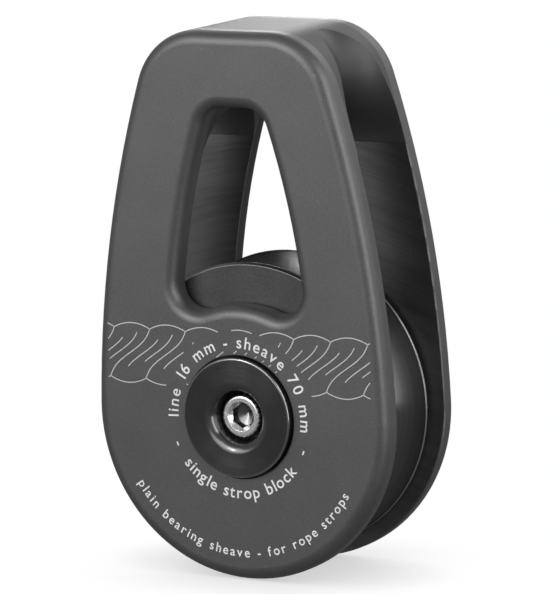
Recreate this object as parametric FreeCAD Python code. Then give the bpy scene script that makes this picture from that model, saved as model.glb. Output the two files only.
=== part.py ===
"""Single sheave block for a 16 mm line: a one-piece aluminium frame, a grooved sheave on a plain axle.

Frame: +Z up, towards the head; Y along the axle, with the front cheek on the -Y side; X across.
The origin is on the axle's axis, halfway between the two cheeks.  Units are millimetres.
"""
import FreeCAD, Part
import math
import os

V = FreeCAD.Vector

FAR = 60.0                   # well outside the part, for cutting boxes

# ---------------------------------------------------------------- frame (cheeks and head in one)
BODY_THICKNESS = 34.0
CHEEK_RADIUS = 38.5          # round foot of the cheeks, about the axle
FLANK_RADIUS = 277.6         # long, slightly bowed sides
FLANK_CENTRE_X = 239.0       # each flank's centre lies beyond the opposite side
FLANK_CENTRE_Z = -7.1
HEAD_TOP = 89.1
HEAD_CORNER_RADIUS = 16.8
OUTER_EDGE_RADIUS = 3.0      # front and back outer edges
SLOT_WIDTH = 23.1            # gap between the cheeks
SLOT_EDGE_RADIUS = 0.35      # the cheeks' inner edges are only just broken
SLOT_TOP = 61.2              # where the straight slot gives way to the strop saddle

# strop saddle: a round groove that wraps under the head bar and out at its two corners
SADDLE_RADIUS = 11.45
SADDLE_FLOOR = 71.0          # underside of the head bar at the groove's root
SADDLE_REACH = 20.0          # half length of the bar at its widest level, at the groove's root
SADDLE_LOW_BEND = 7.2        # round end of the bar below that level
SADDLE_HIGH_BEND = 12.0      # and above it, where the groove runs out at the crown

# window through both cheeks
WINDOW_TOP = 71.5
WINDOW_TOP_CORNER = 5.7
WINDOW_SIDE_RADIUS = 190.8
WINDOW_SIDE_CENTRE_X = 172.9
WINDOW_SIDE_CENTRE_Z = 8.2
WINDOW_FLOOR_RADIUS = 25.8   # the floor is an arc about the axle
WINDOW_BOTTOM_CORNER = 5.9
WINDOW_EDGE_RADIUS = 2.8

# ---------------------------------------------------------------- axle group
AXLE_RADIUS = 11.0
AXLE_BORE_CLEARANCE = 0.02
HUB_RADIUS = 14.05
HUB_FACE = 18.5              # outer face of a hub, from the middle plane
HUB_POCKET_RADIUS = 14.5
HUB_POCKET_FLOOR = 15.0
HUB_SEAT = 15.05             # axle end; the hub flange lands here, just clear of the cheek
HUB_EDGE_RADIUS = 0.45
HUB_SPIGOT_RADIUS = 7.45
HUB_SPIGOT_END = 7.1
HUB_DISH_RADIUS = 8.4        # where the hub face starts to roll into the screw recess
HUB_LIP_RADIUS = 6.3
HUB_LIP_DEPTH = 1.5
HUB_THROAT_DEPTH = 2.4       # steep cone from the lip down to the screw's counterbore
HUB_COUNTERBORE = 5.5
SPIGOT_BORE = 7.5
SPIGOT_BORE_FLOOR = 7.05
END_CHAMFER = 0.3

# M6 socket head cap screw and its spring washer
SCREW_THREAD_RADIUS = 3.0
SCREW_SHANK_RADIUS = 2.95
SCREW_CLEARANCE_RADIUS = 3.2
SCREW_LENGTH = 8.0
SCREW_HEAD_RADIUS = 5.0
SCREW_HEAD_HEIGHT = 6.0
SCREW_HEAD_TOP = 16.2
SCREW_HEAD_EDGE = 0.7
SCREW_SOCKET = 5.0           # across flats
SCREW_SOCKET_DEPTH = 3.0
SCREW_SOCKET_POINT = 0.8     # drill point below the socket
SCREW_MOUTH_RADIUS = 3.5     # wide 45 degree countersink round the socket
SCREW_LEAD_IN = 0.95
SCREW_TIP_CHAMFER = 0.6
KNURL_COUNT = 24
KNURL_RADIUS = 0.32
KNURL_LENGTH = 4.6           # the flutes run out through the head's rounded edge
WASHER_THICKNESS = 1.6
WASHER_OUTER = 4.95
WASHER_INNER = 3.1
WASHER_GAP = 0.9
WASHER_SPLIT_SLANT = 20.0    # degrees

# ---------------------------------------------------------------- sheave group
SHEAVE_RADIUS = 35.0
SHEAVE_HALF_WIDTH = 10.4
RIM_CHAMFER_DEPTH = 0.5      # towards the axle
RIM_CHAMFER_WIDTH = 0.9      # along the axle
GROOVE_RADIUS = 9.0          # for a 16 mm line
GROOVE_LIP_RADIUS = 0.35
BUSH_OUTER = 13.0
BUSH_RUNNING_CLEARANCE = 0.05
BUSH_CHAMFER = 0.4
THRUST_RECESS_DEPTH = 1.0
THRUST_RECESS_RADIUS = 20.0
THRUST_OUTER = 19.95
THRUST_INNER = 11.3
THRUST_FACE = 11.45          # 0.1 mm short of the cheek
THRUST_EDGE = 0.3


def polar(centre, radius, towards):
    """Point at a radius from a centre, in the XZ plane, in the direction of another point."""
    step = towards.sub(centre)
    return centre.add(step.multiply(radius / step.Length))


def circles_meet(centre_a, radius_a, centre_b, radius_b):
    """Of the two points where circles in the XZ plane meet, the one with the larger X."""
    gap = centre_b.sub(centre_a)
    span = gap.Length
    along = (radius_a ** 2 - radius_b ** 2 + span ** 2) / (2 * span)
    aside = math.sqrt(radius_a ** 2 - along ** 2)
    unit = V(gap.x / span, 0, gap.z / span)
    middle = V(centre_a.x + unit.x * along, 0, centre_a.z + unit.z * along)
    first = V(middle.x + unit.z * aside, 0, middle.z - unit.x * aside)
    second = V(middle.x - unit.z * aside, 0, middle.z + unit.x * aside)
    return first if first.x > second.x else second


def arc(start, centre, end):
    """Arc from start to end about a centre, the short way round."""
    half_way = start.sub(centre).add(end.sub(centre))
    middle = centre.add(half_way.multiply(start.sub(centre).Length / half_way.Length))
    return Part.Arc(start, middle, end).toShape()


def line(start, end):
    return Part.makeLine(start, end)


def mirrored(point):
    return V(-point.x, point.y, point.z)


def prism(edges, half_depth):
    """Solid from a closed outline in the XZ plane, the same depth each way along Y."""
    face = Part.Face(Part.Wire(Part.__sortEdges__(edges)))
    face.translate(V(0, -half_depth, 0))
    return face.extrude(V(0, 2 * half_depth, 0))


def turned(outline):
    """Solid of revolution about Y from (radius, y) corners joined by straight lines."""
    corners = [V(radius, y, 0) for radius, y in outline]
    face = Part.Face(Part.makePolygon(corners + corners[:1]))
    return face.revolve(V(0, 0, 0), V(0, 1, 0), 360)


def rod(radius, y_start, y_end, x=0.0, z=0.0):
    """Cylinder along Y."""
    return Part.makeCylinder(radius, y_end - y_start, V(x, y_start, z), V(0, 1, 0))


def facing(shape, side):
    """A piece modelled for the rear (+Y) side, turned about Z to the front when side is -1."""
    turned_piece = shape.copy()
    if side < 0:
        turned_piece.rotate(V(0, 0, 0), V(0, 0, 1), 180)
    return turned_piece


def flat_edges(shape, y, keep=lambda edge: True):
    """Edges that lie in the plane at the given Y."""
    found = []
    for edge in shape.Edges:
        box = edge.BoundBox
        if abs(box.YMin - y) < 1e-4 and abs(box.YMax - y) < 1e-4 and keep(edge):
            found.append(edge)
    return found


# ---------------------------------------------------------------- frame
def body_outline():
    """Round foot, two bowed flanks, two round corners and a flat top."""
    axle = V(0, 0, 0)
    flank = V(-FLANK_CENTRE_X, 0, FLANK_CENTRE_Z)
    foot_join = circles_meet(axle, CHEEK_RADIUS, flank, FLANK_RADIUS)
    corner_z = HEAD_TOP - HEAD_CORNER_RADIUS
    reach = FLANK_RADIUS - HEAD_CORNER_RADIUS
    corner_x = flank.x + math.sqrt(reach ** 2 - (corner_z - flank.z) ** 2)
    corner = V(corner_x, 0, corner_z)
    shoulder = polar(flank, FLANK_RADIUS, corner)
    crown = V(corner_x, 0, HEAD_TOP)
    foot = V(0, 0, -CHEEK_RADIUS)
    edges = [line(crown, mirrored(crown))]
    for place in (lambda point: point, mirrored):
        edges.append(arc(place(foot), axle, place(foot_join)))
        edges.append(arc(place(foot_join), place(flank), place(shoulder)))
        edges.append(arc(place(shoulder), place(corner), place(crown)))
    return edges


def window_outline():
    """Tall window: short flat ceiling, bowed sides, floor concentric with the axle."""
    axle = V(0, 0, 0)
    side = V(-WINDOW_SIDE_CENTRE_X, 0, WINDOW_SIDE_CENTRE_Z)
    top_z = WINDOW_TOP - WINDOW_TOP_CORNER
    reach = WINDOW_SIDE_RADIUS - WINDOW_TOP_CORNER
    top_x = side.x + math.sqrt(reach ** 2 - (top_z - side.z) ** 2)
    top = V(top_x, 0, top_z)
    bottom = circles_meet(axle, WINDOW_FLOOR_RADIUS + WINDOW_BOTTOM_CORNER,
                          side, WINDOW_SIDE_RADIUS - WINDOW_BOTTOM_CORNER)
    ceiling = V(top_x, 0, WINDOW_TOP)
    upper = polar(side, WINDOW_SIDE_RADIUS, top)
    lower = polar(side, WINDOW_SIDE_RADIUS, bottom)
    floor = polar(axle, WINDOW_FLOOR_RADIUS, bottom)
    edges = [line(ceiling, mirrored(ceiling)), arc(floor, axle, mirrored(floor))]
    for place in (lambda point: point, mirrored):
        edges.append(arc(place(ceiling), place(top), place(upper)))
        edges.append(arc(place(upper), place(side), place(lower)))
        edges.append(arc(place(lower), place(bottom), place(floor)))
    return edges


def saddle_cutter():
    """The round groove that wraps the head bar, with the straight gap that lies outside its centre line.

    The centre line runs level under the bar, then turns up round each end in two arcs.
    """
    widest = SADDLE_FLOOR + SADDLE_LOW_BEND
    low_turn = SADDLE_LOW_BEND + SADDLE_RADIUS
    high_turn = SADDLE_HIGH_BEND + SADDLE_RADIUS
    low_centre = V(SADDLE_REACH - SADDLE_LOW_BEND, 0, widest)
    high_centre = V(SADDLE_REACH - SADDLE_HIGH_BEND, 0, widest)
    low = V(low_centre.x, 0, widest - low_turn)
    side = V(SADDLE_REACH + SADDLE_RADIUS, 0, widest)
    top = V(high_centre.x, 0, widest + high_turn)
    centre_line = [line(mirrored(low), low), line(top, mirrored(top))]
    for place in (lambda point: point, mirrored):
        centre_line.append(arc(place(low), place(low_centre), place(side)))
        centre_line.append(arc(place(side), place(high_centre), place(top)))
    core = prism(centre_line, BODY_THICKNESS)
    start = SLOT_TOP - SADDLE_RADIUS
    gap = Part.makeBox(2 * FAR, 2 * SADDLE_RADIUS, top.z - start, V(-FAR, -SADDLE_RADIUS, start))
    pieces = [gap.cut(core)]
    pieces.append(Part.makeCylinder(SADDLE_RADIUS, 2 * low.x, mirrored(low), V(1, 0, 0)))
    for centre, turn, base in ((low_centre, low_turn, widest - FAR), (high_centre, high_turn, widest)):
        ring = Part.makeTorus(turn, SADDLE_RADIUS, centre, V(0, 1, 0))
        quarter = ring.common(Part.makeBox(FAR, 2 * FAR, FAR, V(centre.x, -FAR, base)))
        pieces.append(quarter)
        pieces.append(quarter.mirror(V(0, 0, 0), V(1, 0, 0)))
    return pieces


def make_body():
    half = BODY_THICKNESS / 2
    block = prism(body_outline(), half)
    block = block.makeFillet(OUTER_EDGE_RADIUS, flat_edges(block, half) + flat_edges(block, -half))
    block = block.cut(prism(window_outline(), half + 1))

    def around_window(edge):
        middle = edge.valueAt((edge.FirstParameter + edge.LastParameter) / 2)
        return abs(middle.x) < HEAD_CORNER_RADIUS + 3 and AXLE_RADIUS < middle.z <= WINDOW_TOP

    rims = flat_edges(block, half, around_window) + flat_edges(block, -half, around_window)
    block = block.makeFillet(WINDOW_EDGE_RADIUS, rims)
    slot = Part.makeBox(2 * FAR, SLOT_WIDTH, FAR + SLOT_TOP, V(-FAR, -SLOT_WIDTH / 2, -FAR))
    block = block.cut(slot)
    for piece in saddle_cutter():
        block = block.cut(piece)

    def on_outline(edge):
        middle = edge.valueAt((edge.FirstParameter + edge.LastParameter) / 2)
        beside_window = abs(middle.x) > HEAD_CORNER_RADIUS + 7
        return edge.Length > OUTER_EDGE_RADIUS and (beside_window or middle.z < -SHEAVE_RADIUS / 2)

    inner = SLOT_WIDTH / 2
    block = block.removeSplitter()
    brims = flat_edges(block, inner, on_outline) + flat_edges(block, -inner, on_outline)
    block = block.makeFillet(SLOT_EDGE_RADIUS, brims)
    block = block.cut(rod(AXLE_RADIUS + AXLE_BORE_CLEARANCE, -half - 1, half + 1))
    block = block.cut(rod(HUB_POCKET_RADIUS, HUB_POCKET_FLOOR, half + 1))
    block = block.cut(rod(HUB_POCKET_RADIUS, -half - 1, -HUB_POCKET_FLOOR))
    return block.removeSplitter()


# ---------------------------------------------------------------- axle group
def make_axle():
    chamfered = AXLE_RADIUS - END_CHAMFER
    shoulder = HUB_SEAT - END_CHAMFER
    bar = turned([(0, -HUB_SEAT), (chamfered, -HUB_SEAT), (AXLE_RADIUS, -shoulder),
                  (AXLE_RADIUS, shoulder), (chamfered, HUB_SEAT), (0, HUB_SEAT)])
    bar = bar.cut(rod(SCREW_THREAD_RADIUS, -HUB_SEAT - 1, HUB_SEAT + 1))
    bar = bar.cut(rod(SPIGOT_BORE, SPIGOT_BORE_FLOOR, HUB_SEAT + 1))
    return bar.cut(rod(SPIGOT_BORE, -HUB_SEAT - 1, -SPIGOT_BORE_FLOOR))


def make_hub():
    """Rear hub: a flange over the axle's end, with a cup that takes the screw's head."""
    washer_seat = SCREW_HEAD_TOP - SCREW_HEAD_HEIGHT - WASHER_THICKNESS
    lip_y = HUB_FACE - HUB_LIP_DEPTH
    dish_width = HUB_DISH_RADIUS - HUB_LIP_RADIUS
    dish_arc = (dish_width ** 2 + HUB_LIP_DEPTH ** 2) / (2 * HUB_LIP_DEPTH)
    dish_centre = V(HUB_DISH_RADIUS, HUB_FACE - dish_arc, 0)
    dish_start = V(HUB_DISH_RADIUS, HUB_FACE, 0)
    lip = V(HUB_LIP_RADIUS, lip_y, 0)
    edge_y = HUB_FACE - HUB_EDGE_RADIUS
    rim_inner = V(HUB_RADIUS - HUB_EDGE_RADIUS, HUB_FACE, 0)
    rim_outer = V(HUB_RADIUS, edge_y, 0)
    rim_centre = V(HUB_RADIUS - HUB_EDGE_RADIUS, edge_y, 0)
    corners = [
        rim_outer,
        V(HUB_RADIUS, HUB_SEAT, 0),
        V(HUB_SPIGOT_RADIUS, HUB_SEAT, 0),
        V(HUB_SPIGOT_RADIUS, HUB_SPIGOT_END + END_CHAMFER, 0),
        V(HUB_SPIGOT_RADIUS - END_CHAMFER, HUB_SPIGOT_END, 0),
        V(SCREW_CLEARANCE_RADIUS, HUB_SPIGOT_END, 0),
        V(SCREW_CLEARANCE_RADIUS, washer_seat, 0),
        V(HUB_COUNTERBORE, washer_seat, 0),
        V(HUB_COUNTERBORE, lip_y - HUB_THROAT_DEPTH, 0),
        lip,
    ]
    edges = [line(start, end) for start, end in zip(corners, corners[1:])]
    edges.append(arc(lip, dish_centre, dish_start))
    edges.append(line(dish_start, rim_inner))
    edges.append(arc(rim_inner, rim_centre, rim_outer))
    face = Part.Face(Part.Wire(edges))
    return face.revolve(V(0, 0, 0), V(0, 1, 0), 360)


def make_hub_screw():
    """Rear M6 socket head cap screw, knurled round its head, a corner of its socket pointing up."""
    top = SCREW_HEAD_TOP
    under = top - SCREW_HEAD_HEIGHT
    tip = under - SCREW_LENGTH
    head = rod(SCREW_HEAD_RADIUS, under, top)
    head = head.makeFillet(SCREW_HEAD_EDGE, flat_edges(head, top, lambda edge: edge.Length > 1))
    flutes = []
    for number in range(KNURL_COUNT):
        angle = 2 * math.pi * number / KNURL_COUNT
        flutes.append(rod(KNURL_RADIUS, top - KNURL_LENGTH, top + END_CHAMFER,
                          SCREW_HEAD_RADIUS * math.cos(angle), SCREW_HEAD_RADIUS * math.sin(angle)))
    head = head.cut(Part.makeCompound(flutes))
    corner = SCREW_SOCKET / math.sqrt(3)
    hexagon = [V(corner * math.sin(math.radians(60 * k)), top - SCREW_SOCKET_DEPTH,
                 corner * math.cos(math.radians(60 * k))) for k in range(7)]
    socket = Part.Face(Part.makePolygon(hexagon)).extrude(V(0, SCREW_SOCKET_DEPTH + 1, 0))
    bottom = V(0, top - SCREW_SOCKET_DEPTH, 0)
    drill_point = Part.makeCone(SCREW_SOCKET / 2, 0, SCREW_SOCKET_POINT, bottom, V(0, -1, 0))
    lead_in = Part.makeCone(SCREW_MOUTH_RADIUS - SCREW_LEAD_IN, SCREW_MOUTH_RADIUS, SCREW_LEAD_IN,
                            V(0, top - SCREW_LEAD_IN, 0), V(0, 1, 0))
    head = head.cut(socket).cut(drill_point).cut(lead_in)
    thread_end = SCREW_SHANK_RADIUS - SCREW_TIP_CHAMFER
    shank = turned([(0, under), (SCREW_SHANK_RADIUS, under), (SCREW_SHANK_RADIUS, tip + SCREW_TIP_CHAMFER),
                    (thread_end, tip), (0, tip)])
    return head.fuse(shank).removeSplitter()


def make_lock_washer():
    """Rear spring washer, split at one side."""
    outer = SCREW_HEAD_TOP - SCREW_HEAD_HEIGHT
    ring = rod(WASHER_OUTER, outer - WASHER_THICKNESS, outer)
    ring = ring.cut(rod(WASHER_INNER, outer - WASHER_THICKNESS - 1, outer + 1))
    split = Part.makeBox(WASHER_GAP, 12, WASHER_OUTER, V(-WASHER_GAP / 2, -6, 0))
    split.rotate(V(0, 0, 0), V(0, 0, 1), WASHER_SPLIT_SLANT)
    split.translate(V(0, outer - WASHER_THICKNESS / 2, 0))
    return ring.cut(split)


# ---------------------------------------------------------------- sheave group
def make_sheave():
    side = SHEAVE_HALF_WIDTH
    seat = side - THRUST_RECESS_DEPTH
    shoulder = SHEAVE_RADIUS - RIM_CHAMFER_DEPTH
    profile = [(BUSH_OUTER, -seat), (THRUST_RECESS_RADIUS, -seat), (THRUST_RECESS_RADIUS, -side),
               (shoulder, -side), (SHEAVE_RADIUS, RIM_CHAMFER_WIDTH - side)]
    profile += [(radius, -y) for radius, y in reversed(profile)]
    wheel = turned(profile)
    wheel = wheel.cut(Part.makeTorus(SHEAVE_RADIUS, GROOVE_RADIUS, V(0, 0, 0), V(0, 1, 0)))
    lips = flat_edges(wheel, GROOVE_RADIUS) + flat_edges(wheel, -GROOVE_RADIUS)
    return wheel.makeFillet(GROOVE_LIP_RADIUS, lips)


def make_sheave_bush():
    half = SHEAVE_HALF_WIDTH - THRUST_RECESS_DEPTH
    bore = AXLE_RADIUS + BUSH_RUNNING_CLEARANCE
    chamfer = BUSH_CHAMFER
    return turned([(bore, chamfer - half), (bore + chamfer, -half), (BUSH_OUTER, -half),
                   (BUSH_OUTER, half), (bore + chamfer, half), (bore, half - chamfer)])


def make_thrust_washer():
    """Rear thrust washer: sits in the sheave's side and runs against the cheek."""
    seat = SHEAVE_HALF_WIDTH - THRUST_RECESS_DEPTH
    rounded = THRUST_FACE - THRUST_EDGE
    return turned([(THRUST_INNER, seat), (THRUST_OUTER, seat), (THRUST_OUTER, rounded),
                   (THRUST_OUTER - THRUST_EDGE, THRUST_FACE), (THRUST_INNER + THRUST_EDGE, THRUST_FACE),
                   (THRUST_INNER, rounded)])


def main():
    pieces = {
        "body": make_body(),
        "axle": make_axle(),
        "sheave": make_sheave(),
        "sheave_bush": make_sheave_bush(),
    }
    paired = {
        "hub": make_hub(),
        "hub_screw": make_hub_screw(),
        "lock_washer": make_lock_washer(),
        "thrust_washer": make_thrust_washer(),
    }
    for name, shape in paired.items():
        pieces["front_" + name] = facing(shape, -1)
        pieces["rear_" + name] = facing(shape, 1)
    os.makedirs("parts", exist_ok=True)
    for name, shape in pieces.items():
        if len(shape.Solids) != 1 or not shape.isValid():
            raise RuntimeError(name + " is not one valid solid")
        shape.Solids[0].exportStep("parts/" + name + ".step")


main()
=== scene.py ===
"""Looks for the single sheave block: materials, printed marks, light, floor and camera.

Everything is in metres, in the row frame: the axle runs along Y through the origin, and Z is up.
"""
import math

import bpy
from mathutils import Matrix, Vector


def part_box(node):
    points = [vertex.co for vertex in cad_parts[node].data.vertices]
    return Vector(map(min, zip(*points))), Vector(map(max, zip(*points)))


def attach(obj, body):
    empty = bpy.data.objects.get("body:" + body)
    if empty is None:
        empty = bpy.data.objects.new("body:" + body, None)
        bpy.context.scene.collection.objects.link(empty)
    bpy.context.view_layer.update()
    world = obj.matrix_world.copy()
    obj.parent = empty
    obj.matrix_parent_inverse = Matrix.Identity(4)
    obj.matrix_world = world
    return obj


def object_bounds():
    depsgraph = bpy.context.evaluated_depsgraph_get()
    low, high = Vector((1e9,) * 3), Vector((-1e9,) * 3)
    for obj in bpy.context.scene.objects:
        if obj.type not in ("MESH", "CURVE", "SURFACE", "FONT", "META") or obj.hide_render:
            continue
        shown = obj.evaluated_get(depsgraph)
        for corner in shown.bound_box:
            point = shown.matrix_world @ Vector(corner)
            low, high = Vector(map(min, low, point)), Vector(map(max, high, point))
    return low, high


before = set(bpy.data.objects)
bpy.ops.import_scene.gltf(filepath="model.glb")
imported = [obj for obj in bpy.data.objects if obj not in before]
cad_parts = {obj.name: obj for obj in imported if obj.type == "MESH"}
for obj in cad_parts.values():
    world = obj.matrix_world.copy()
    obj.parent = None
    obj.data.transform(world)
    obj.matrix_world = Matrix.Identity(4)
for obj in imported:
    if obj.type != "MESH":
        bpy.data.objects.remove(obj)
cad_low, cad_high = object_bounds()

MM = 0.001

# ---------------------------------------------------------------- places taken from the frame
FRONT_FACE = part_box("body")[0].y
HUB_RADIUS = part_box("front_hub")[1].x
SHEAVE_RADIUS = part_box("sheave")[1].x
SCREW_TOP = -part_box("front_hub_screw")[0].y
SLOT_HALF = 11.55 * MM
SADDLE_CREASE = 61.2 * MM

# ---------------------------------------------------------------- material graphs
# A noise's values lie mostly in this range.
NOISE_LOW, NOISE_HIGH = 0.3, 0.7
# Quarter turn of the tangent: highlights stretch across the turning marks, not along them.
ACROSS_THE_RINGS = 0.25


class Graph:
    """A material's node tree, with short calls for the nodes that the finishes share.

    Places are in millimetres, in the piece's own frame; radius is the distance from the axle.
    """

    def __init__(self, name):
        self.material = bpy.data.materials.new(name)
        self.material.use_nodes = True
        self.tree = self.material.node_tree
        self.shader = self.tree.nodes["Principled BSDF"]
        place = self.add("ShaderNodeTexCoord").outputs["Object"]
        self.mm = self.vector("SCALE", place, scale=1 / MM)
        split = self.add("ShaderNodeSeparateXYZ")
        self.link(self.mm, split.inputs[0])
        self.x, self.y, self.z = split.outputs
        squares = self.plus(self.times(self.x, self.x), self.times(self.z, self.z))
        self.radius = self.math("SQRT", squares)

    def add(self, kind):
        return self.tree.nodes.new(kind)

    def link(self, source, target):
        self.tree.links.new(source, target)

    def feed(self, value, target):
        if isinstance(value, bpy.types.NodeSocket):
            self.link(value, target)
        else:
            target.default_value = value

    def math(self, operation, *values):
        node = self.add("ShaderNodeMath")
        node.operation = operation
        for value, target in zip(values, node.inputs):
            self.feed(value, target)
        return node.outputs[0]

    def plus(self, a, b):
        return self.math("ADD", a, b)

    def times(self, a, b):
        return self.math("MULTIPLY", a, b)

    def below(self, value, limit):
        """1 where the value is under the limit, else 0."""
        return self.math("LESS_THAN", value, limit)

    def above(self, value, limit):
        """1 where the value is over the limit, else 0."""
        return self.math("GREATER_THAN", value, limit)

    def weigh(self, first, share, second):
        return self.plus(self.times(first, share), self.times(second, 1.0 - share))

    def vector(self, operation, first, second=None, scale=None):
        node = self.add("ShaderNodeVectorMath")
        node.operation = operation
        self.feed(first, node.inputs[0])
        if second is not None:
            self.feed(second, node.inputs[1])
        if scale is not None:
            node.inputs["Scale"].default_value = scale
        return node.outputs["Value"] if operation == "DOT_PRODUCT" else node.outputs[0]

    def combine(self, x, y, z):
        node = self.add("ShaderNodeCombineXYZ")
        for value, target in zip((x, y, z), node.inputs):
            self.feed(value, target)
        return node.outputs[0]

    def noise(self, scale, detail=2.0, roughness=0.5, vector=None):
        node = self.add("ShaderNodeTexNoise")
        node.inputs["Scale"].default_value = scale
        node.inputs["Detail"].default_value = detail
        node.inputs["Roughness"].default_value = roughness
        self.link(self.mm if vector is None else vector, node.inputs["Vector"])
        return node.outputs["Fac"]

    def remap(self, value, low, high, to_low, to_high, smooth=False):
        node = self.add("ShaderNodeMapRange")
        node.interpolation_type = "SMOOTHSTEP" if smooth else "LINEAR"
        self.feed(value, node.inputs["Value"])
        for name, number in (("From Min", low), ("From Max", high), ("To Min", to_low), ("To Max", to_high)):
            self.feed(number, node.inputs[name])
        return node.outputs["Result"]

    def spread(self, noise, low, high):
        """A noise stretched over the range from low to high."""
        return self.remap(noise, NOISE_LOW, NOISE_HIGH, low, high)

    def mix(self, kind, share, first, second):
        node = self.add("ShaderNodeMix")
        node.data_type = kind
        self.feed(share, node.inputs["Factor"])
        self.feed(first, node.inputs["A"])
        self.feed(second, node.inputs["B"])
        return node.outputs["Result"]

    def blend(self, share, first, second):
        """The first number where share is 0, the second where it is 1."""
        return self.mix("FLOAT", share, first, second)

    def blend_colour(self, share, first, second):
        return self.mix("RGBA", share, first, second)

    def grey(self, level):
        """Colour socket from a grey level, with a trace of blue."""
        node = self.add("ShaderNodeCombineColor")
        self.feed(level, node.inputs["Red"])
        self.feed(level, node.inputs["Green"])
        self.feed(self.times(level, 1.015), node.inputs["Blue"])
        return node.outputs[0]

    def facing(self, axis):
        """How squarely the surface faces along an axis of the scene, from 0 to 1."""
        normal = self.add("ShaderNodeNewGeometry").outputs["True Normal"]
        return self.math("ABSOLUTE", self.vector("DOT_PRODUCT", normal, axis))

    def edge_normal(self, radius_mm):
        """Surface normal with the sharp edges rounded off."""
        node = self.add("ShaderNodeBevel")
        node.samples = 6
        node.inputs["Radius"].default_value = radius_mm * MM
        return node.outputs[0]

    def edge_share(self, rounded):
        """0 on open surface, rising to 1 on a sharp edge."""
        normal = self.add("ShaderNodeNewGeometry").outputs["Normal"]
        match = self.vector("DOT_PRODUCT", normal, rounded)
        return self.remap(match, 0.995, 0.8, 0.0, 1.0)

    def round_axle(self):
        """Tangent that runs round the axle, for finishes off the lathe."""
        node = self.add("ShaderNodeTangent")
        node.direction_type = "RADIAL"
        node.axis = "Y"
        return node.outputs[0]

    def bump(self, height, strength, distance_mm, normal=None):
        node = self.add("ShaderNodeBump")
        node.inputs["Strength"].default_value = strength
        node.inputs["Distance"].default_value = distance_mm * MM
        self.link(height, node.inputs["Height"])
        if normal is not None:
            self.link(normal, node.inputs["Normal"])
        return node.outputs[0]

    def finish(self, colour, roughness, metallic, normal=None, **extra):
        self.feed(colour, self.shader.inputs["Base Color"])
        self.feed(roughness, self.shader.inputs["Roughness"])
        self.feed(metallic, self.shader.inputs["Metallic"])
        if normal is not None:
            self.link(normal, self.shader.inputs["Normal"])
        for name, value in extra.items():
            self.feed(value, self.shader.inputs[name.replace("_", " ")])
        return self.material


# Grey levels (linear) and roughness of the frame's three finishes, each from low to high.
BLASTED_LEVEL, BLASTED_GRAIN, BLASTED_ROUGH = (0.108, 0.120), 0.013, (0.45, 0.49)
MILLED_LEVEL, MILLED_ROUGH = (0.074, 0.110), (0.31, 0.37)
SADDLE_LEVEL, SADDLE_ROUGH = 0.072, 0.52
SPECK_LEVEL, EDGE_WEAR = 0.04, 0.05
# Cutter marks: how fast they climb with x, and how much they droop with x squared on each side.
STREAK_SLOPE, LEFT_DROOP, RIGHT_DROOP = 0.16, 0.009, 0.003
# Painted light and shade, not a finish: shares of the milled level at the start and end of each bar and
# at the foot of the right one, and the share of the level left on the rear window's walls as painted shade.
LEFT_BAR_PAINTED_SHADE, RIGHT_BAR_PAINTED_SHADE, RIGHT_FOOT_PAINTED_LIGHT = (1.15, 0.62), (1.02, 0.64), 1.3
REAR_WALL_PAINTED_SHADE, WINDOW_REACH = 0.4, 19.0


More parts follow.
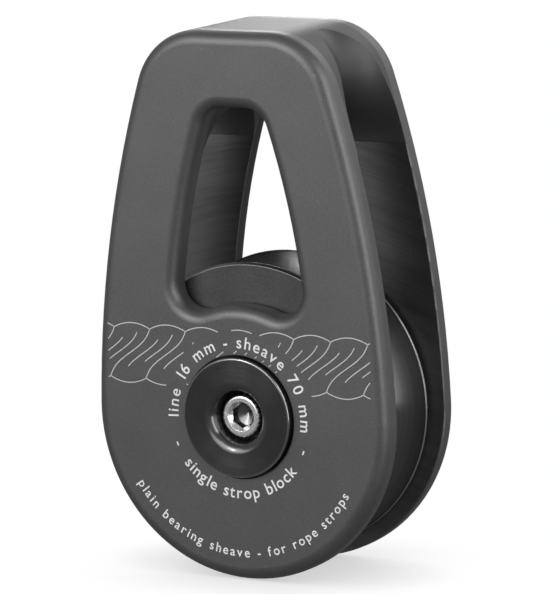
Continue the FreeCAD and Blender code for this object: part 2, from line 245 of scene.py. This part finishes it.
def frame_anodised():
    """Bead-blasted, hard-anodised aluminium outside; cutter marks on the inner faces of the cheeks."""
    g = Graph("frame_anodised")
    mottle = g.noise(scale=0.06, detail=3.0, roughness=0.6)
    grain = g.noise(scale=2.6, detail=2.0, roughness=0.65)
    speck = g.remap(g.noise(scale=1.1, detail=0.0), 0.84, 0.88, 0.0, 1.0)
    blasted = g.plus(g.spread(mottle, *BLASTED_LEVEL), g.spread(grain, -BLASTED_GRAIN, BLASTED_GRAIN))

    # cutter marks: fine streaks that run across the cheek and droop a little towards its edges
    left_bar = g.below(g.x, 0.0)
    droop = g.times(g.times(g.x, g.x), g.blend(left_bar, RIGHT_DROOP, LEFT_DROOP))
    height_on_cheek = g.plus(g.plus(g.z, droop), g.times(g.x, STREAK_SLOPE))
    fine_place = g.combine(g.times(g.x, 0.07), g.y, g.times(height_on_cheek, 2.2))
    broad_place = g.combine(g.times(g.x, 0.04), g.y, g.times(height_on_cheek, 0.3))
    fine = g.noise(scale=1.0, detail=3.0, roughness=0.7, vector=fine_place)
    broad = g.noise(scale=1.0, detail=2.0, roughness=0.5, vector=broad_place)
    streak = g.weigh(fine, 0.6, broad)

    between = g.below(g.math("ABSOLUTE", g.y), SLOT_HALF / MM + 0.05)
    below_crease = g.below(g.z, SADDLE_CREASE / MM)
    flat = g.remap(g.facing((0, 1, 0)), 0.97, 0.99, 0.0, 1.0)
    inner = g.times(flat, g.times(between, below_crease))
    saddle = g.times(between, g.math("SUBTRACT", 1.0, below_crease))
    # painted light and shade: left bar darker inwards, right bar darker outwards and lighter low down
    right_bar_painted_shade = g.blend(g.remap(g.z, -5.0, 55.0, 0.0, 1.0), RIGHT_FOOT_PAINTED_LIGHT,
                           g.remap(g.x, 19.0, 29.0, *RIGHT_BAR_PAINTED_SHADE, smooth=True))
    left_bar_painted_shade = g.remap(g.x, -20.0, -9.0, *LEFT_BAR_PAINTED_SHADE, smooth=True)
    milled_with_painted_shade = g.times(g.remap(streak, 0.35, 0.65, *MILLED_LEVEL), g.blend(left_bar, right_bar_painted_shade, left_bar_painted_shade))

    rounded = g.edge_normal(0.3)
    wear = g.times(g.edge_share(rounded), EDGE_WEAR)
    shade = g.blend(inner, g.blend(saddle, blasted, SADDLE_LEVEL), milled_with_painted_shade)
    # painted shade on the side walls of the rear window, near the middle
    behind_slot = g.above(g.y, SLOT_HALF / MM + 0.3)
    rear_wall_shade_mask = g.times(behind_slot, g.remap(g.facing((1, 0, 0)), 0.8, 0.9, 0.0, 1.0))
    rear_wall_shade_mask = g.times(rear_wall_shade_mask, g.below(g.math("ABSOLUTE", g.x), WINDOW_REACH))
    shade = g.times(shade, g.blend(rear_wall_shade_mask, 1.0, REAR_WALL_PAINTED_SHADE))
    shade = g.plus(g.plus(shade, wear), g.times(speck, SPECK_LEVEL))
    height = g.blend(inner, grain, g.times(fine, 0.8))
    blasted_rough = g.blend(saddle, g.spread(mottle, *BLASTED_ROUGH), SADDLE_ROUGH)
    roughness = g.blend(inner, blasted_rough, g.spread(streak, *MILLED_ROUGH))
    return g.finish(g.grey(shade), roughness, 0.75, g.bump(height, 0.30, 0.02, rounded))


HUB_LEVEL, HUB_ROUGH, HUB_RING_PITCH = (0.076, 0.104), 0.22, 0.35
# Extra levels on the rim and on the dish about DISH_MIDDLE are painted highlights.
RIM_PAINTED_HIGHLIGHT, DISH_PAINTED_HIGHLIGHT, DISH_MIDDLE = 0.16, 0.03, 7.3


def hub_anodised():
    """Anodised metal from the lathe: very fine rings about the axle, with painted highlights on the rim and
    dish.
    """
    g = Graph("hub_anodised")
    rim_radius = HUB_RADIUS / MM
    turns = g.combine(g.math("DIVIDE", g.radius, HUB_RING_PITCH), g.math("DIVIDE", g.y, HUB_RING_PITCH), 0.0)
    rings = g.noise(scale=1.0, detail=3.0, roughness=0.6, vector=turns)
    grain = g.noise(scale=5.0, detail=2.0)
    mottle = g.noise(scale=0.2, detail=3.0)
    level = g.spread(g.weigh(rings, 0.6, mottle), *HUB_LEVEL)
    rounded = g.edge_normal(0.15)
    # painted highlights on the rim and the dish
    rim = g.times(g.remap(g.radius, rim_radius - 0.55, rim_radius - 0.35, 0.0, 1.0),
                  g.below(g.radius, rim_radius - 0.02))
    from_dish = g.math("ABSOLUTE", g.math("SUBTRACT", g.radius, DISH_MIDDLE))
    dish = g.remap(from_dish, 0.7, 1.2, 1.0, 0.0)
    level = g.plus(level, g.plus(g.times(rim, RIM_PAINTED_HIGHLIGHT), g.times(dish, DISH_PAINTED_HIGHLIGHT)))
    roughness = g.plus(g.spread(mottle, HUB_ROUGH - 0.02, HUB_ROUGH + 0.02), g.spread(rings, -0.02, 0.02))
    return g.finish(g.grey(level), roughness, 0.95, g.bump(g.weigh(rings, 0.7, grain), 0.08, 0.01, rounded),
                    Anisotropic=0.75, Anisotropic_Rotation=ACROSS_THE_RINGS, Tangent=g.round_axle())


SIDE_LEVEL, SIDE_ROUGH = (0.068, 0.084), (0.38, 0.46)
GROOVE_LEVEL, GROOVE_ROUGH = (0.085, 0.135), (0.28, 0.32)
# The lips' level is a painted highlight.
RIM_LEVEL, RIM_ROUGH, LIP_PAINTED_HIGHLIGHT = 0.05, 0.36, 0.30
# The side edges' extra level is a painted highlight.
SIDE_EDGE_PAINTED_HIGHLIGHT, SHARP_EDGE_POLISH = 0.14, 0.12


def sheave_anodised():
    """Satin turned sides; the groove is smoother and a little lighter; lips and outer side edges have painted
    highlights.
    """
    g = Graph("sheave_anodised")
    rim_radius = SHEAVE_RADIUS / MM
    off_centre = g.math("ABSOLUTE", g.y)
    groove = g.times(g.below(off_centre, 9.6), g.above(g.radius, 22.0))
    turns = g.combine(g.times(g.radius, 6.0), g.times(g.y, 6.0), 0.0)
    rings = g.noise(scale=1.0, detail=3.0, roughness=0.6, vector=turns)
    grain = g.noise(scale=4.0, detail=2.0)
    mottle = g.noise(scale=0.12, detail=3.0)
    blotches = g.noise(scale=2.2, detail=2.0, roughness=0.6)
    side_level = g.plus(g.spread(mottle, *SIDE_LEVEL),
                        g.plus(g.spread(rings, -0.004, 0.004), g.spread(blotches, -0.016, 0.016)))
    rounded = g.edge_normal(0.15)
    level = g.blend(groove, side_level, g.spread(rings, *GROOVE_LEVEL))
    rim = g.above(g.radius, rim_radius - 0.48)
    # painted highlight on the lips, set by how they face along the scene's X, so it stays at the sides as the
    # sheave turns
    lip_highlight = g.times(g.times(rim, g.below(off_centre, 9.75)), g.remap(g.facing((1, 0, 0)), 0.3, 0.7, 0.0, 1.0))
    level = g.blend(lip_highlight, g.blend(rim, level, RIM_LEVEL), LIP_PAINTED_HIGHLIGHT)
    # painted highlight along the outer edges of the sheave's sides
    side_edge_highlight_mask = g.times(g.above(off_centre, 10.25), g.above(g.radius, rim_radius - 0.62))
    level = g.plus(level, g.times(side_edge_highlight_mask, SIDE_EDGE_PAINTED_HIGHLIGHT))
    level = g.plus(level, g.times(g.edge_share(rounded), SHARP_EDGE_POLISH))
    groove_rough = g.blend(rim, g.spread(mottle, *GROOVE_ROUGH), RIM_ROUGH)
    roughness = g.blend(groove, g.spread(grain, *SIDE_ROUGH), groove_rough)
    return g.finish(g.grey(level), roughness, 0.75, g.bump(g.weigh(rings, 0.6, grain), 0.08, 0.01, rounded),
                    Anisotropic=g.times(groove, 0.92), Anisotropic_Rotation=ACROSS_THE_RINGS,
                    Tangent=g.round_axle())


def bright_steel(name, level, roughness, socket_radius=0.0, socket_start=0.0):
    """Bright stainless steel with fine turning marks and scratches; a hex socket is darkened inside as
    painted shade.
    """
    g = Graph(name)
    turns = g.combine(g.times(g.radius, 7.0), g.times(g.y, 2.0), 0.0)
    rings = g.noise(scale=1.0, detail=2.0, roughness=0.5, vector=turns)
    marks = g.noise(scale=1.4, detail=4.0, roughness=0.7)
    shade = g.spread(g.weigh(rings, 0.5, marks), level - 0.10, level + 0.10)
    # painted shade inside the hex socket
    socket_painted_shade = g.times(g.below(g.radius, socket_radius), g.below(g.math("ABSOLUTE", g.y), socket_start))
    shade = g.blend(socket_painted_shade, shade, g.times(shade, 0.20))
    rough = g.spread(marks, roughness - 0.05, roughness + 0.06)
    return g.finish(g.grey(shade), rough, 1.0, g.bump(rings, 0.20, 0.01, g.edge_normal(0.08)))


def bush_composite():
    """Wound glass-fibre tube: crossing fibre bands under a brown resin."""
    g = Graph("bush_composite")
    angle = g.math("ARCTAN2", g.z, g.x)
    bands = []
    for lean in (1.0, -1.0):
        phase = g.plus(g.times(angle, 9.0), g.times(g.y, lean * 1.1))
        bands.append(g.math("SINE", g.times(phase, 3.0)))
    weave = g.times(bands[0], bands[1])
    resin, fibre = (0.09, 0.07, 0.035, 1.0), (0.17, 0.13, 0.07, 1.0)
    shade = g.blend_colour(g.remap(weave, -1.0, 1.0, 0.0, 1.0), resin, fibre)
    return g.finish(shade, g.remap(weave, -1.0, 1.0, 0.5, 0.62), 0.0, g.bump(weave, 0.2, 0.03))


def washer_acetal():
    """Machined natural acetal with faint facing rings."""
    g = Graph("washer_acetal")
    rings = g.noise(scale=1.0, detail=2.0, roughness=0.5, vector=g.combine(g.times(g.radius, 5.0), 0.0, 0.0))
    dull, clean = (0.62, 0.61, 0.57, 1.0), (0.72, 0.71, 0.67, 1.0)
    shade = g.blend_colour(g.spread(rings, 0.0, 1.0), dull, clean)
    return g.finish(shade, g.spread(rings, 0.36, 0.44), 0.0, g.bump(rings, 0.15, 0.01),
                    Subsurface_Weight=0.05)


def print_ink():
    """Off-white screen print, slightly uneven where it lies on the blasted surface."""
    g = Graph("print_ink")
    grain = g.noise(scale=6.0, detail=2.0)
    cover = g.noise(scale=0.8, detail=3.0)
    shade = g.spread(g.weigh(grain, 0.4, cover), 0.66, 0.82)
    return g.finish(g.grey(shade), g.spread(cover, 0.55, 0.65), 0.0, g.bump(grain, 0.2, 0.005))


def thin_ink():
    """The same ink in hairlines, where more of the dark surface shows through."""
    g = Graph("thin_ink")
    grain = g.noise(scale=6.0, detail=2.0)
    return g.finish(g.grey(g.spread(grain, 0.44, 0.60)), 0.6, 0.0, g.bump(grain, 0.2, 0.005))


# The screws' hexagon sockets, in millimetres: reach from the axis, and depth of the bright mouth above the
# painted shade.
SOCKET_REACH, SOCKET_MOUTH = 2.95, 0.9

NODE_FINISH = {
    "body": frame_anodised(),
    "axle": bright_steel("axle_steel", level=0.55, roughness=0.25),
    "front_hub": hub_anodised(),
    "front_hub_screw": bright_steel("screw_steel", level=0.90, roughness=0.24, socket_radius=SOCKET_REACH,
                                    socket_start=SCREW_TOP / MM - SOCKET_MOUTH),
    "sheave": sheave_anodised(),
    "sheave_bush": bush_composite(),
    "front_thrust_washer": washer_acetal(),
}
NODE_FINISH["rear_hub"] = NODE_FINISH["front_hub"]
NODE_FINISH["rear_thrust_washer"] = NODE_FINISH["front_thrust_washer"]
for steel_node in ("rear_hub_screw", "front_lock_washer", "rear_lock_washer"):
    NODE_FINISH[steel_node] = NODE_FINISH["front_hub_screw"]

for name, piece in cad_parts.items():
    for index in range(len(piece.data.materials)):
        piece.material_slots[index].link = "OBJECT"
        piece.material_slots[index].material = NODE_FINISH[name]


# ---------------------------------------------------------------- printed marks
INK_DEPTH = 0.02 * MM
WORD_SPACE = 0.30          # width of a space, as a share of the letters' size


def on_front(x, z, lift=0.0):
    return Vector((x, FRONT_FACE - lift, z))


def new_piece(name, vertices, faces, material):
    """A printed mark that stays with the frame."""
    mesh = bpy.data.meshes.new(name)
    mesh.from_pydata(vertices, [], faces)
    mesh.update()
    mesh.materials.append(material)
    piece = bpy.data.objects.new(name, mesh)
    bpy.context.scene.collection.objects.link(piece)
    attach(piece, "frame")
    return piece


def ribbon(points, width):
    """A flat bar along a line of (x, z) points, INK_DEPTH thick, as (vertices, faces)."""
    count = len(points)
    vertices = []
    for index, point in enumerate(points):
        before = points[max(index - 1, 0)]
        after = points[min(index + 1, count - 1)]
        along = (after - before).normalized()
        aside = Vector((-along.y, along.x)) * width / 2
        left, right = point + aside, point - aside
        vertices += [on_front(*left), on_front(*right)]
        vertices += [on_front(*left, INK_DEPTH), on_front(*right, INK_DEPTH)]
    faces = []
    for index in range(count - 1):
        a, b = 4 * index, 4 * index + 4
        faces += [(a + 2, a + 3, b + 3, b + 2), (a + 1, a, b, b + 1)]
        faces += [(a, a + 2, b + 2, b), (a + 3, a + 1, b + 1, b + 3)]
    end = 4 * (count - 1)
    faces += [(0, 1, 3, 2), (end + 1, end, end + 2, end + 3)]
    return vertices, faces


def joined(parts):
    vertices, faces = [], []
    for part_vertices, part_faces in parts:
        start = len(vertices)
        vertices += part_vertices
        faces += [tuple(start + corner for corner in face) for face in part_faces]
    return vertices, faces


def glyph(character, size, weight):
    """A letter's solid mesh and its advance, from Blender's own font."""
    curve = bpy.data.curves.new("glyph", "FONT")
    curve.body = character
    curve.size = size
    curve.extrude = INK_DEPTH / 2
    curve.offset = weight * size
    curve.resolution_u = 4
    holder = bpy.data.objects.new("glyph", curve)
    bpy.context.scene.collection.objects.link(holder)
    bpy.context.view_layer.update()
    mesh = bpy.data.meshes.new_from_object(holder.evaluated_get(bpy.context.evaluated_depsgraph_get()))
    vertices = [vertex.co.copy() for vertex in mesh.vertices]
    faces = [tuple(face.vertices) for face in mesh.polygons]
    bpy.data.objects.remove(holder)
    bpy.data.meshes.remove(mesh)
    width = max((v.x for v in vertices), default=0.0)
    return vertices, faces, width


def arc_text(words, size, radius, start_degrees, end_degrees, weight=0.0):
    """Letters set one by one along an arc about the axle, spread evenly from one angle to the other.

    Their tops point outwards where the arc runs clockwise, and inwards where it runs the other way.
    """
    tops_out = end_degrees < start_degrees
    turn = -1 if tops_out else 1
    space = WORD_SPACE * size
    letters = []
    natural = 0.0
    for character in words:
        if character == " ":
            letters.append((None, None, space))
        else:
            letters.append(glyph(character, size, weight))
        natural += letters[-1][2]
    gap = 0.0
    if len(words) > 1:
        gap = (math.radians(abs(end_degrees - start_degrees)) * radius - natural) / (len(words) - 1)
    parts = []
    cursor = 0.0
    for vertices, faces, width in letters:
        if vertices:
            angle = math.radians(start_degrees) + turn * (cursor + width / 2) / radius
            out = Vector((math.cos(angle), math.sin(angle)))
            right = Vector((math.sin(angle), -math.cos(angle))) * (1 if tops_out else -1)
            up = out if tops_out else -out
            placed = []
            for vertex in vertices:
                flat = out * radius + right * (vertex.x - width / 2) + up * vertex.y
                placed.append(on_front(flat.x, flat.y, INK_DEPTH / 2 + vertex.z))
            parts.append((placed, faces))
        cursor += width + gap
    return joined(parts)


INK = print_ink()
HAIRLINE = thin_ink()

# Letter heights, the arcs that the letters stand on, and how much bolder they are than the plain font.
# Angles are in degrees, counter-clockwise from +X.
RING_SIZE = 4.0 * MM
RING_INNER = 16.2 * MM
RING_OUTER = 19.1 * MM
FOOT_SIZE = 3.2 * MM
FOOT_RADIUS = 32.9 * MM
LETTER_WEIGHT = 0.008
ring_lower = [
    arc_text("single strop block", RING_SIZE, RING_OUTER, 218.0, 322.0, LETTER_WEIGHT),
    arc_text("-", RING_SIZE, RING_OUTER, 202.0, 206.0),
    arc_text("-", RING_SIZE, RING_OUTER, 335.0, 339.0),
]
ring_upper = arc_text("line 16 mm - sheave 70 mm", RING_SIZE, RING_INNER, 184.0, -8.0, LETTER_WEIGHT)
new_piece("ring_text_upper", *ring_upper, INK)
new_piece("ring_text_lower", *joined(ring_lower), INK)
foot_text = arc_text("plain bearing sheave - for rope strops", FOOT_SIZE, FOOT_RADIUS, 212.0, 330.0,
                     LETTER_WEIGHT)
new_piece("foot_text", *foot_text, INK)

ROPE_MIDDLE = 13.3 * MM
ROPE_HEIGHT = 11.6 * MM
ROPE_PITCH = 9.6 * MM
ROPE_LEAN = 11.0 * MM
ROPE_SWAY = 0.55           # how far a seam bends out of a straight line, 0 for not at all
ROPE_BULGE = 1.3 * MM
ROPE_HALF_SPAN = 34.9 * MM
HAIRLINE_WIDTH = 0.22 * MM
LETTERS_CLEAR = 20.2 * MM
HUB_GAP = (14.75 * MM, 15.6 * MM)


def seam(low_x, first, last):
    """Line between two strands of a laid rope: an S from the lower edge to the upper edge, or part of one."""
    count = 48
    points = []
    for index in range(count + 1):
        t = first + (last - first) * index / count
        across = t - ROPE_SWAY * math.sin(2 * math.pi * t) / (2 * math.pi)
        points.append(Vector((low_x + ROPE_LEAN * across, ROPE_MIDDLE + ROPE_HEIGHT * (t - 0.5))))
    return points


def scallop(start_x, z, bulge):
    """The rounded end of one strand, on the rope's lower or upper edge."""
    count = 32
    points = []
    for index in range(count + 1):
        t = index / count
        points.append(Vector((start_x + ROPE_PITCH * t, z + bulge * math.sin(math.pi * t) ** 0.8)))
    return points


def visible_runs(points, visible):
    """Splits a line into the runs of its points that are visible."""
    runs = [[]]
    for point in points:
        if visible(point):
            runs[-1].append(point)
        elif runs[-1]:
            runs.append([])
    return [run for run in runs if len(run) > 2]


def rope_band():
    """Outline of a laid rope across the cheek, kept clear of the ring of letters and of the edges."""
    low_z = ROPE_MIDDLE - ROPE_HEIGHT / 2
    high_z = ROPE_MIDDLE + ROPE_HEIGHT / 2

    def visible(point):
        distance = point.length
        clear_of_letters = distance > LETTERS_CLEAR or HUB_GAP[0] < distance < HUB_GAP[1]
        return abs(point.x) < ROPE_HALF_SPAN and clear_of_letters

    parts = []
    for number in range(-5, 5):
        low_x = number * ROPE_PITCH - ROPE_LEAN / 2
        lines = [
            seam(low_x, 0.0, 1.0),
            seam(low_x + ROPE_PITCH * 0.36, 0.22, 0.80),
            seam(low_x + ROPE_PITCH * 0.68, 0.34, 0.92),
            scallop(low_x, low_z, -ROPE_BULGE),
            scallop(low_x + ROPE_LEAN, high_z, ROPE_BULGE),
        ]
        for points in lines:
            for run in visible_runs(points, visible):
                parts.append(ribbon(run, HAIRLINE_WIDTH))
    return joined(parts)


new_piece("rope_band", *rope_band(), HAIRLINE)


# ---------------------------------------------------------------- floor, light, camera
TARGET = Vector((1.08 * MM, 0.0, (cad_low.z + cad_high.z) / 2 + 0.1 * MM))

FLOOR_HALF = 6.0
FOOT_PAINTED_SHADOW, FOOT_PAINTED_SHADOW_REACH = 0.55, 30.0 * MM


def make_floor():
    """Plain pale floor that the block stands on, wide enough to fill the view.

    Only the camera sees it, so the soft boxes alone light the block; a painted shadow darkens it a little
    under the foot.
    """
    z = cad_low.z
    mesh = bpy.data.meshes.new("floor")
    corners = [(FLOOR_HALF * x, FLOOR_HALF * y, z) for x, y in ((-1, -1), (1, -1), (1, 1), (-1, 1))]
    mesh.from_pydata(corners, [], [(0, 1, 2, 3)])
    floor = bpy.data.objects.new("floor", mesh)
    bpy.context.scene.collection.objects.link(floor)
    material = bpy.data.materials.new("floor")
    material.use_nodes = True
    tree = material.node_tree
    tree.nodes.remove(tree.nodes["Principled BSDF"])
    # painted shadow: the floor's glow dims where the block is near
    nearness = tree.nodes.new("ShaderNodeAmbientOcclusion")
    nearness.samples = 16
    nearness.inputs["Distance"].default_value = FOOT_PAINTED_SHADOW_REACH
    shade = tree.nodes.new("ShaderNodeMapRange")
    shade.inputs["From Min"].default_value = 0.0
    shade.inputs["From Max"].default_value = 0.9
    shade.inputs["To Min"].default_value = FOOT_PAINTED_SHADOW
    shade.inputs["To Max"].default_value = 1.0
    glow = tree.nodes.new("ShaderNodeEmission")
    tree.links.new(nearness.outputs["AO"], shade.inputs["Value"])
    tree.links.new(shade.outputs["Result"], glow.inputs["Color"])
    tree.links.new(glow.outputs["Emission"], tree.nodes["Material Output"].inputs["Surface"])
    mesh.materials.append(material)
    floor.visible_diffuse = False
    floor.visible_glossy = False
    floor.visible_shadow = False


LIGHT_DISTANCE = 0.8
# Each soft box: name, azimuth (0 in front, 90 to the right) and elevation of its place, the width and
# height that it fills as seen from the block, all in degrees, and its brightness.
SOFT_BOXES = (
    ("right_box", 67, 15, 18, 50, 5.0),
    ("right_high_box", 95, 34, 30, 26, 2.1),
    ("front_box", 341, 23, 46, 44, 2.6),
    ("front_key_box", 338, 30, 12, 12, 5.0),
    ("window_box", 334, 23, 5, 6, 30.0),
    ("back_right_box", 118, 14, 36, 40, 0.9),
    ("groove_box", 148, 20, 9, 12, 4.0),
    ("back_box", 172, 36, 34, 26, 1.9),
    ("back_left_box", 208, 17, 7, 8, 14.0),
    ("back_left_high_box", 222, 38, 34, 24, 1.2),
)


def direction_to(azimuth, elevation):
    """Unit vector from the block towards an azimuth and elevation in degrees."""
    a, e = math.radians(azimuth), math.radians(elevation)
    return Vector((math.sin(a) * math.cos(e), -math.cos(a) * math.cos(e), math.sin(e)))


def soft_box(name, azimuth, elevation, wide, high, brightness):
    """A soft box that faces the block, placed by the direction that its light comes from."""
    back = direction_to(azimuth, elevation)
    light = bpy.data.lights.new(name, "AREA")
    light.shape = "RECTANGLE"
    light.size = 2 * LIGHT_DISTANCE * math.tan(math.radians(wide) / 2)
    light.size_y = 2 * LIGHT_DISTANCE * math.tan(math.radians(high) / 2)
    light.energy = brightness * math.pi * light.size * light.size_y
    lamp = bpy.data.objects.new(name, light)
    bpy.context.scene.collection.objects.link(lamp)
    lamp.location = TARGET + back * LIGHT_DISTANCE
    lamp.rotation_mode = "QUATERNION"
    lamp.rotation_quaternion = (-back).to_track_quat("-Z", "Y")
    lamp.visible_camera = False


ROOM_BELOW, ROOM_ABOVE = 0.20, 0.36
ROOM_FADE = (-0.45, 0.15)


def make_world():
    """Even white light from the room, dimmer from below."""
    world = bpy.data.worlds.new("studio")
    world.use_nodes = True
    tree = world.node_tree
    direction = tree.nodes.new("ShaderNodeSeparateXYZ")
    fade = tree.nodes.new("ShaderNodeMapRange")
    fade.interpolation_type = "SMOOTHSTEP"
    fade.inputs["From Min"].default_value = ROOM_FADE[0]
    fade.inputs["From Max"].default_value = ROOM_FADE[1]
    fade.inputs["To Min"].default_value = ROOM_BELOW
    fade.inputs["To Max"].default_value = ROOM_ABOVE
    tree.links.new(tree.nodes.new("ShaderNodeTexCoord").outputs["Generated"], direction.inputs["Vector"])
    tree.links.new(direction.outputs["Z"], fade.inputs["Value"])
    tree.links.new(fade.outputs["Result"], tree.nodes["Background"].inputs["Strength"])
    tree.nodes["Background"].inputs["Color"].default_value = (1.0, 1.0, 1.0, 1.0)
    bpy.context.scene.world = world


# The camera's place about the block, in degrees and metres, and its lens, in millimetres.
CAMERA_AZIMUTH, CAMERA_ELEVATION, CAMERA_ROLL = 29.97, 9.64, -1.645
CAMERA_DISTANCE = 1.147
SENSOR_WIDTH, FOCAL_LENGTH = 36.0, 299.5


def make_camera():
    azimuth, roll = math.radians(CAMERA_AZIMUTH), math.radians(CAMERA_ROLL)
    back = direction_to(CAMERA_AZIMUTH, CAMERA_ELEVATION)
    right = Vector((math.cos(azimuth), math.sin(azimuth), 0.0))
    up = back.cross(right)
    tilted_right = right * math.cos(roll) + up * math.sin(roll)
    tilted_up = up * math.cos(roll) - right * math.sin(roll)
    data = bpy.data.cameras.new("camera")
    data.sensor_width = SENSOR_WIDTH
    data.lens = FOCAL_LENGTH
    data.clip_start, data.clip_end = 0.05, 20.0
    camera = bpy.data.objects.new("camera", data)
    bpy.context.scene.collection.objects.link(camera)
    place = TARGET + back * CAMERA_DISTANCE
    turn = Matrix((tilted_right, tilted_up, back)).transposed().to_4x4()
    camera.matrix_world = Matrix.Translation(place) @ turn
    bpy.context.scene.camera = camera


make_floor()
make_world()
make_camera()
for box in SOFT_BOXES:
    soft_box(*box)
bpy.context.scene.view_settings.view_transform = "Standard"
